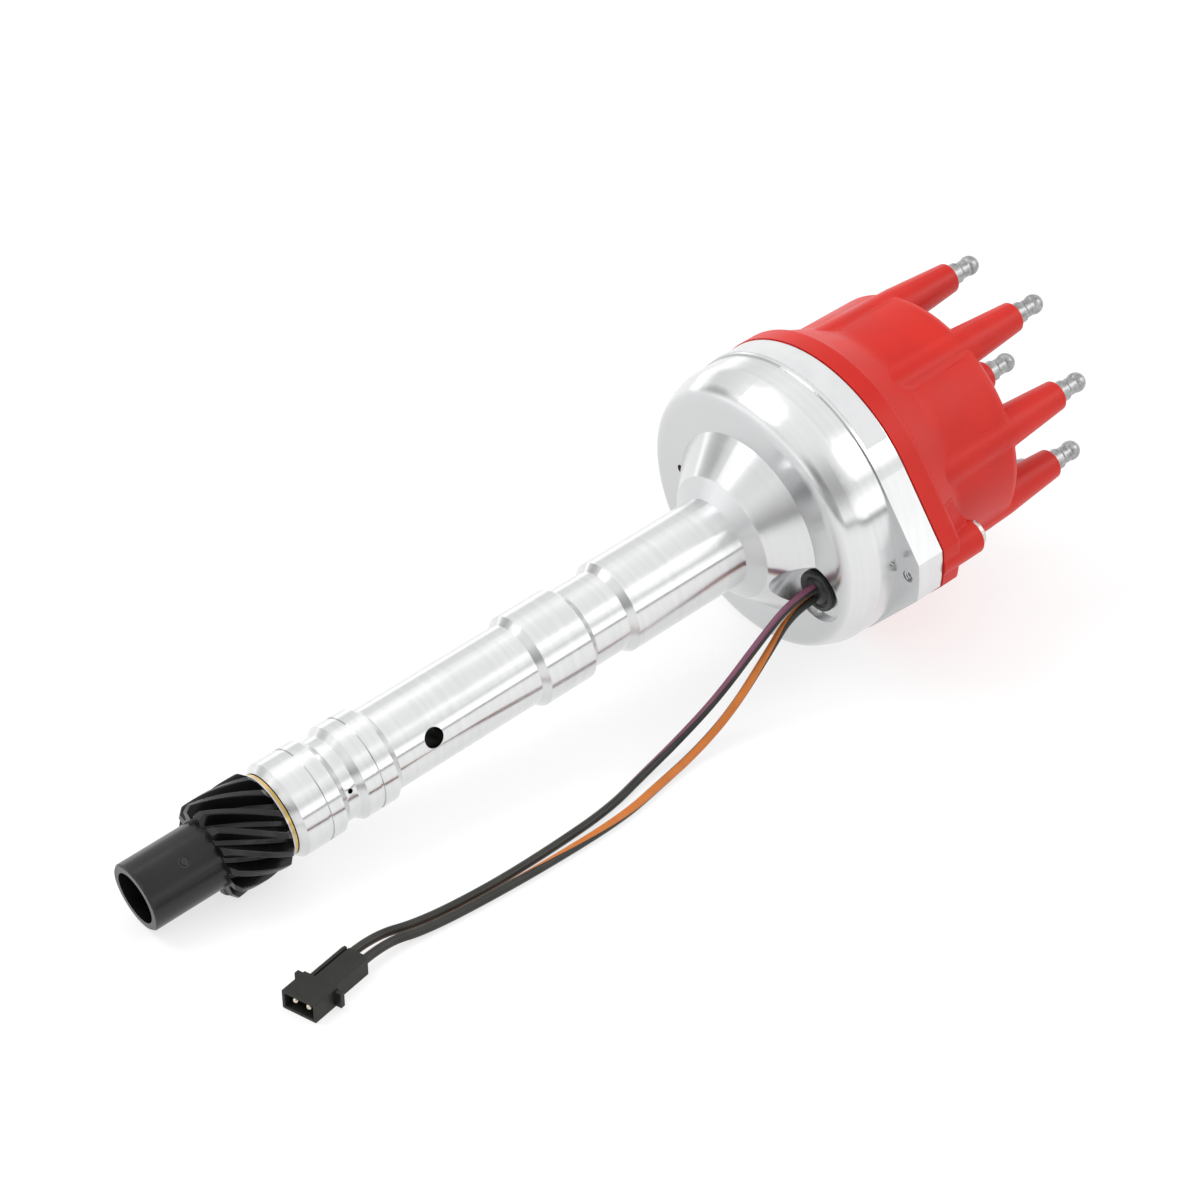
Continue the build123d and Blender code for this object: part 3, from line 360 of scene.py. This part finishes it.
# Cap and rotor: glass filled polyester, moulded in red with a satin skin.
# The cap's eight ribs run out into towers, with a ninth tower in the middle.
# Soft blends lead from each rib into the wall, and a web carries each screw ear.
red_moulding = finish_of("red moulding", dark=(0.51, 0.009, 0.003), light=(0.575, 0.013, 0.005),
                         smooth=0.36, rough=0.46, metal=0.0,
                         cloud_size=45.0, grain_size=1500.0, bump=0.16, depth=0.00003)
red_moulding.node_tree.nodes["Principled BSDF"].inputs["Specular IOR Level"].default_value = 0.28
wear(red_moulding, "cap", "rotor")
wear(washer_brass, "rotor_strip")
wear(zinc_plate, "rotor_screws", "cap_screws")
rib_foot = 0.2744
band_top = 0.2796
cap_shoulder = 0.2936
cap_rim = 0.3244
rim_round = 0.0045
blend_round = 0.012
shoulder_bend = 0.0022
wall_foot_r = 0.0461
wall_top_r = 0.0456
rib_count = 8
rib_ring = 0.0393
rib_foot_r = 0.0087
rib_taper = 0.00145
rib_length = 0.05
first_rib = -16.3
rib_blend = 0.009
inset = 0.00003
arc_steps = 10


def wall_radius(height):
    """Outer radius of the cap's wall between its band and its rim."""
    bend = max(0, shoulder_bend - abs(height - cap_shoulder)) ** 2 / (2 * blend_round)
    if height < cap_shoulder:
        share = (height - band_top) / (cap_shoulder - band_top)
        return rim_r + share * (wall_foot_r - rim_r) + bend
    if height > cap_rim - rim_round:
        over = height - (cap_rim - rim_round)
        return wall_top_r - rim_round + math.sqrt(max(0, rim_round ** 2 - over ** 2))
    share = (height - cap_shoulder) / (cap_rim - cap_shoulder)
    return wall_foot_r + share * (wall_top_r - wall_foot_r) + bend


def rib_radius(height):
    """Radius of a rib, which tapers up to its tower."""
    return rib_foot_r - rib_taper * (height - rib_foot) / rib_length


def blend_arc(mesh, height, ring, post_r, blend, hand):
    """One concave arc from the wall to a post that stands on the ring."""
    reach = wall_radius(height) + blend
    off = hand * math.acos((reach ** 2 + ring ** 2 - (post_r + blend) ** 2) / (2 * reach * ring))
    middle = Vector((reach * math.cos(off), reach * math.sin(off), height))
    from_wall = math.pi + off
    from_post = math.atan2(-middle.y, ring - middle.x)
    sweep = (from_post - from_wall + math.pi) % (2 * math.pi) - math.pi
    start = middle + (blend + inset) * Vector((math.cos(from_wall), math.sin(from_wall), 0))
    count = len(mesh.verts)
    first = mesh.verts.new(start)
    bmesh.ops.spin(mesh, geom=[first], cent=middle, axis=(0, 0, 1), angle=sweep, steps=arc_steps)
    mesh.verts.ensure_lookup_table()
    return mesh.verts[count:]


def loft_loops(mesh, loops):
    """Close each loop of vertices, bridge each to the next and cap both ends."""
    rings = []
    for loop in loops:
        pairs = zip(loop, loop[1:] + loop[:1])
        rings.append([mesh.edges.get(pair) or mesh.edges.new(pair) for pair in pairs])
    for lower, upper in zip(rings, rings[1:]):
        bmesh.ops.bridge_loops(mesh, edges=lower + upper)
    mesh.faces.new(loops[0])
    return mesh.faces.new(loops[-1])


def red_piece(name, mesh):
    """Finished object of red moulding that rides with the cap."""
    bmesh.ops.recalc_face_normals(mesh, faces=mesh.faces)
    for face in mesh.faces:
        face.smooth = True
    data = bpy.data.meshes.new(name)
    mesh.to_mesh(data)
    mesh.free()
    made = bpy.data.objects.new(name, data)
    bpy.context.collection.objects.link(made)
    data.materials.append(red_moulding)
    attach(made, "body")


# The rows of a rib's blend lie closer together near its foot, where it leaves the wall.
first_rise = 0.00005
height_step = 0.0002
wall_rows = 12
rim_rows = 6
row_spread = 1.5
tuck_in = 0.0012
tuck_aside = 0.0008
rib_low = band_top
while wall_radius(rib_low) - rib_radius(rib_low) > rib_ring - first_rise:
    rib_low += height_step
rib_run = cap_rim - rim_round - rib_low
rib_heights = [rib_low + rib_run * (row / wall_rows) ** row_spread for row in range(wall_rows)]
rib_heights += [cap_rim - rim_round * (1 - row / rim_rows) for row in range(rim_rows + 1)]
for rib in range(rib_count):
    mesh = bmesh.new()
    for hand in (1, -1):
        loops = []
        for height in rib_heights:
            arc = blend_arc(mesh, height, rib_ring, rib_radius(height), rib_blend, hand)
            corner = (arc[0].co + arc[-1].co) / 2
            hidden = mesh.verts.new((corner.x - tuck_in, corner.y - hand * tuck_aside, height))
            loops.append(arc + [hidden])
        loft_loops(mesh, loops)
    turn = Matrix.Rotation(math.radians(first_rib + 360 / rib_count * rib), 4, "Z")
    bmesh.ops.transform(mesh, verts=mesh.verts, matrix=on_axis @ turn)
    red_piece("rib_blend_%d" % (rib + 1), mesh)

boss_r = 0.0062
web_blend = 0.0085
web_root = 0.003
web_edge = 0.0012
web_heights = (0.2786, 0.2812, 0.2838, 0.2864, 0.2888, 0.2906)
for turn in ear_turns:
    mesh = bmesh.new()
    loops = []
    for height in web_heights:
        right = blend_arc(mesh, height, screw_ring, boss_r, web_blend, 1)
        left = blend_arc(mesh, height, screw_ring, boss_r, web_blend, -1)
        hidden = mesh.verts.new((wall_radius(height) - web_root, 0, height))
        loops.append(right + left[::-1] + [hidden])
    top = loft_loops(mesh, loops)
    around = [edge for edge in top.edges if loops[-1][-1] not in edge.verts]
    bmesh.ops.bevel(mesh, geom=around, offset=web_edge, segments=4, profile=0.5, affect="EDGES", material=-1)
    ear = Matrix.Rotation(math.radians(ear_angle + turn), 4, "Z")
    bmesh.ops.transform(mesh, verts=mesh.verts, matrix=on_axis @ ear)
    red_piece("ear_web_%d" % (1 + turn // 180), mesh)

# Terminals: die cast inserts moulded into the towers, each ending in a ball nose.
# The brush under the middle one is pressed carbon, with a plated spring behind it.
cast_zinc = finish_of("cast zinc", dark=(0.25, 0.25, 0.254), light=(0.43, 0.43, 0.434),
                      smooth=0.26, rough=0.42, metal=1.0,
                      cloud_size=500.0, grain_size=2200.0, bump=0.6, depth=0.00005)
wear(cast_zinc, "tower_terminals", "centre_terminal")
carbon = finish_of("pressed carbon", dark=(0.03, 0.03, 0.032), light=(0.05, 0.05, 0.052),
                   smooth=0.45, rough=0.6, metal=0.3)
wear(carbon, "carbon_brush")
wear(zinc_plate, "brush_spring")

# Two leads: stranded wire in dark insulation, each with a coloured band.
# They leave the grommet's nose and lie on the bench up to the plug.
lead_r = 0.00145
band_half = 0.19
band_turn = 0.42
routes = {
    "violet_lead": [
        (0.0592, -0.0316, 0.0378), (0.0494, -0.0316, 0.0364), (0.0355, -0.0322, 0.0273),
        (0.0175, -0.0328, 0.0136), (-0.0010, -0.0336, 0.0044), (-0.0180, -0.0372, 0.00145),
        (-0.0370, -0.0440, 0.00145), (-0.0620, -0.0482, 0.00145), (-0.0900, -0.0514, 0.00145),
        (-0.1160, -0.0516, 0.00145), (-0.1319, -0.0495, 0.0033), (-0.1425, -0.0525, 0.0033),
    ],
    "orange_lead": [
        (0.0596, -0.0316, 0.0334), (0.0500, -0.0316, 0.0322), (0.0375, -0.0340, 0.0225),
        (0.0200, -0.0370, 0.0096), (0.0025, -0.0396, 0.0026), (-0.0160, -0.0442, 0.00145),
        (-0.0360, -0.0500, 0.00145), (-0.0635, -0.0532, 0.00145), (-0.0910, -0.0551, 0.00145),
        (-0.1170, -0.0555, 0.00145), (-0.1305, -0.0543, 0.0033), (-0.1411, -0.0573, 0.0033),
    ],
}


def insulation(name, colour, band_side, band_drift, turn_point):
    """Dark insulation with a coloured band, which winds away on both sides of one point."""
    material = bpy.data.materials.new(name)
    material.use_nodes = True
    tree = material.node_tree
    shader = tree.nodes["Principled BSDF"]

    def maths(operation, *values):
        inputs = dict(enumerate(values))
        return add_node(tree, "ShaderNodeMath", inputs, operation=operation).outputs["Value"]

    place = add_node(tree, "ShaderNodeTexCoord")
    parts = add_node(tree, "ShaderNodeSeparateXYZ", {"Vector": place.outputs["UV"]})
    squared = maths("POWER", maths("SUBTRACT", parts.outputs["X"], turn_point), 2.0)
    held = maths("MINIMUM", maths("MULTIPLY", squared, band_drift), band_turn)
    offset = maths("SUBTRACT", parts.outputs["Y"], maths("ADD", held, band_side))
    apart = maths("ABSOLUTE", maths("WRAP", offset, -0.5, 0.5))
    striped = maths("GREATER_THAN", apart, band_half)

    worn = add_node(tree, "ShaderNodeGroup", node_tree=grain)
    worn.inputs["Cloud size"].default_value = 120.0
    worn.inputs["Grain size"].default_value = 3000.0
    tinted = ramp(tree, worn.outputs["Clouds"], low=tuple(0.85 * part for part in colour), high=colour)
    dark = ramp(tree, worn.outputs["Clouds"], low=(0.016, 0.016, 0.0135), high=(0.026, 0.026, 0.022))
    mixed = add_node(tree, "ShaderNodeMix", {"Factor": striped}, data_type="RGBA")
    tree.links.new(tinted, mixed.inputs["A"])
    tree.links.new(dark, mixed.inputs["B"])
    tree.links.new(mixed.outputs["Result"], shader.inputs["Base Color"])
    raised = add_node(tree, "ShaderNodeBump", {
        "Height": worn.outputs["Grain"], "Strength": 0.15, "Distance": 0.00002})
    tree.links.new(raised.outputs["Normal"], shader.inputs["Normal"])
    shader.inputs["Roughness"].default_value = 0.42
    shader.inputs["Specular IOR Level"].default_value = 0.35
    return material


looks = {
    "violet_lead": insulation("violet insulation", colour=(0.19, 0.060, 0.11),
                              band_side=0.22, band_drift=0.9, turn_point=0.0),
    "orange_lead": insulation("orange insulation", colour=(0.56, 0.16, 0.02),
                              band_side=0.05, band_drift=3.0, turn_point=0.36),
}
for name, points in routes.items():
    curve = bpy.data.curves.new(name + "_wire", "CURVE")
    curve.dimensions = "3D"
    curve.bevel_depth = lead_r
    curve.bevel_resolution = 6
    curve.resolution_u = 12
    curve.use_fill_caps = True
    spline = curve.splines.new("NURBS")
    spline.points.add(len(points) - 1)
    for point, place in zip(spline.points, points):
        point.co = (*place, 1)
    spline.order_u = 3
    spline.use_endpoint_u = True
    wire = bpy.data.objects.new(name + "_wire", curve)
    bpy.context.collection.objects.link(wire)
    curve.materials.append(looks[name])
    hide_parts(name)
    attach(wire, "body")

# Plug: moulded nylon shell with two plated contacts, pushed onto the ends of the leads.
# It lies on the bench, with its open face away from the leads.
nylon = finish_of("black nylon", dark=(0.012, 0.0125, 0.0105), light=(0.020, 0.0205, 0.0175),
                  smooth=0.4, rough=0.55, metal=0.0, cloud_size=150.0, bump=0.35)
nylon.node_tree.nodes["Principled BSDF"].inputs["Specular IOR Level"].default_value = 0.25
contact_plate = finish_of("plated contact", dark=(0.62, 0.56, 0.42), light=(0.74, 0.70, 0.58),
                          smooth=0.2, rough=0.34, metal=1.0)
wear(nylon, "plug_shell")
wear(contact_plate, "plug_contacts")

# Studio: a pale glowing table under a soft sky, with a bright strip above a dark horizon,
# two dark cards that shade the bell, and a plain pale wall where the camera sees past the table.
table_drop = 0.0002
bpy.ops.mesh.primitive_plane_add(size=40)
floor = bpy.context.object
floor.name = "floor"
floor.location.z = -table_drop
paper = finish_of("pale paper", dark=(0.28, 0.28, 0.28), light=(0.285, 0.285, 0.285),
                  smooth=0.9, rough=0.95, metal=0.0, cloud_size=2.0, grain_size=300.0, bump=0.02)
floor.data.materials.append(paper)
paper.node_tree.nodes["Principled BSDF"].inputs["Emission Color"].default_value = (1, 1, 1, 1)
paper.node_tree.nodes["Principled BSDF"].inputs["Emission Strength"].default_value = 0.70

world = bpy.data.worlds.new("studio")
bpy.context.scene.world = world
world.use_nodes = True
sky = world.node_tree
background = sky.nodes["Background"]
way = add_node(sky, "ShaderNodeTexCoord").outputs["Generated"]
split = add_node(sky, "ShaderNodeSeparateXYZ", {"Vector": way})
behind = add_node(sky, "ShaderNodeMath", {0: split.outputs["Y"], 1: 0.0}, operation="MAXIMUM")
lifted = add_node(sky, "ShaderNodeMath", {
    0: behind.outputs["Value"], 1: 0.14, 2: split.outputs["Z"]}, operation="MULTIPLY_ADD")
shade = add_node(sky, "ShaderNodeValToRGB", {"Fac": lifted.outputs["Value"]})
tones = shade.color_ramp.elements
horizon_tone = 0.10
zenith_tone = 0.62
tones[0].position = 0.0
tones[0].color = (horizon_tone,) * 3 + (1,)
tones[1].position = 1.0
tones[1].color = (zenith_tone,) * 3 + (1,)
for height, tone in ((0.05, 0.12), (0.09, 1.0), (0.24, 0.92), (0.42, 0.50), (0.70, 0.58)):
    tones.new(height).color = (tone, tone, tone, 1)
light = shade.outputs["Color"]
for direction, rim, core, left in (
        ((-0.61, -0.74, 0.28), 0.80, 0.97, 0.25),
        ((-0.34, 0.90, 0.28), 0.95, 0.99, 0.5),
):
    facing = add_node(sky, "ShaderNodeVectorMath", {0: way, 1: direction}, operation="DOT_PRODUCT")
    card = add_node(sky, "ShaderNodeMapRange", {
        "Value": facing.outputs["Value"], "From Min": rim, "From Max": core, "To Min": 1.0, "To Max": left},
        interpolation_type="SMOOTHSTEP")
    shaded = add_node(sky, "ShaderNodeVectorMath", {0: light, 1: card.outputs["Result"]},
                      operation="MULTIPLY")
    light = shaded.outputs["Vector"]
seen = add_node(sky, "ShaderNodeLightPath").outputs["Is Camera Ray"]
wall = add_node(sky, "ShaderNodeMix", {"Factor": seen, "A": light}, data_type="RGBA")
wall.inputs["B"].default_value = (1, 1, 1, 1)
sky.links.new(wall.outputs["Result"], background.inputs["Color"])
background.inputs["Strength"].default_value = 1.75


def soft_light(name, place, power, size):
    """Square soft box that faces the object."""
    lamp = bpy.data.lights.new(name, "AREA")
    lamp.energy = power
    lamp.size = size
    stand = bpy.data.objects.new(name, lamp)
    stand.location = place
    stand.rotation_euler = (-Vector(place)).to_track_quat("-Z", "Y").to_euler()
    bpy.context.collection.objects.link(stand)


soft_light("key", place=(-0.5, 0.5, 1.1), power=6.0, size=0.7)
soft_light("fill", place=(0.9, -0.7, 0.9), power=3.0, size=0.6)

lens = bpy.data.cameras.new("camera")
lens.lens = 86.44
lens.sensor_width = 36.0
lens.clip_start = 0.01
camera = bpy.data.objects.new("camera", lens)
bpy.context.collection.objects.link(camera)
look = Vector((0.53336, 0.64939, -0.54205)).normalized()
camera.location = (-0.49628, -0.59837, 0.54307)
camera.rotation_euler = look.to_track_quat("-Z", "Y").to_euler()
bpy.context.scene.camera = camera
bpy.context.scene.view_settings.view_transform = "Standard"
